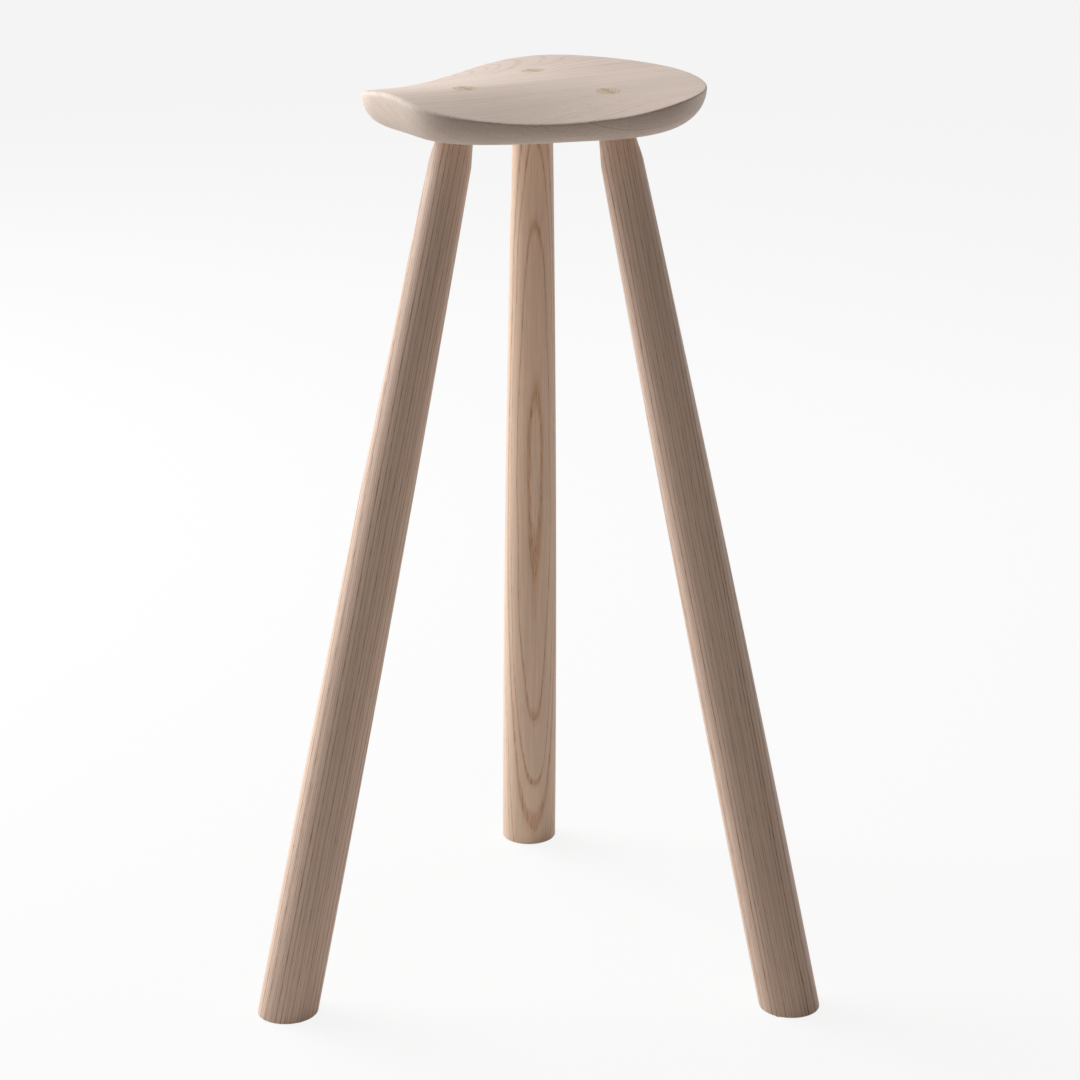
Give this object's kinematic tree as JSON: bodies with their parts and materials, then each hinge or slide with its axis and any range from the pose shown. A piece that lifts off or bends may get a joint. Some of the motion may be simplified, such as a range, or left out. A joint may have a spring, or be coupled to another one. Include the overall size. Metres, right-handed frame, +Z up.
{
  "type": "bar stool",
  "caption": "Bar-height wooden stool with a saddle-shaped seat and splayed round legs wedged through it.",
  "frame": {"origin": "on the floor, at the middle of the box around the feet", "axes": "+Z up; +Y towards the seat's raised lip and the rear leg; X = 0 is the plane of symmetry"},
  "size_m": [0.4644, 0.4088, 0.75],
  "materials": {
    "seat_wood": "pale fine-grained ash, soap finish, matt",
    "leg_wood": "straight-grained ash with open dark pore lines, soap finish, matt",
    "wedge_wood": "darker hardwood end grain, sanded flush"
  },
  "bodies": {
    "root": {"seat": "seat_wood", "leg_rear": "leg_wood", "leg_left": "leg_wood", "leg_right": "leg_wood", "wedge_rear": "wedge_wood", "wedge_left": "wedge_wood", "wedge_right": "wedge_wood"}
  },
  "joints": []
}
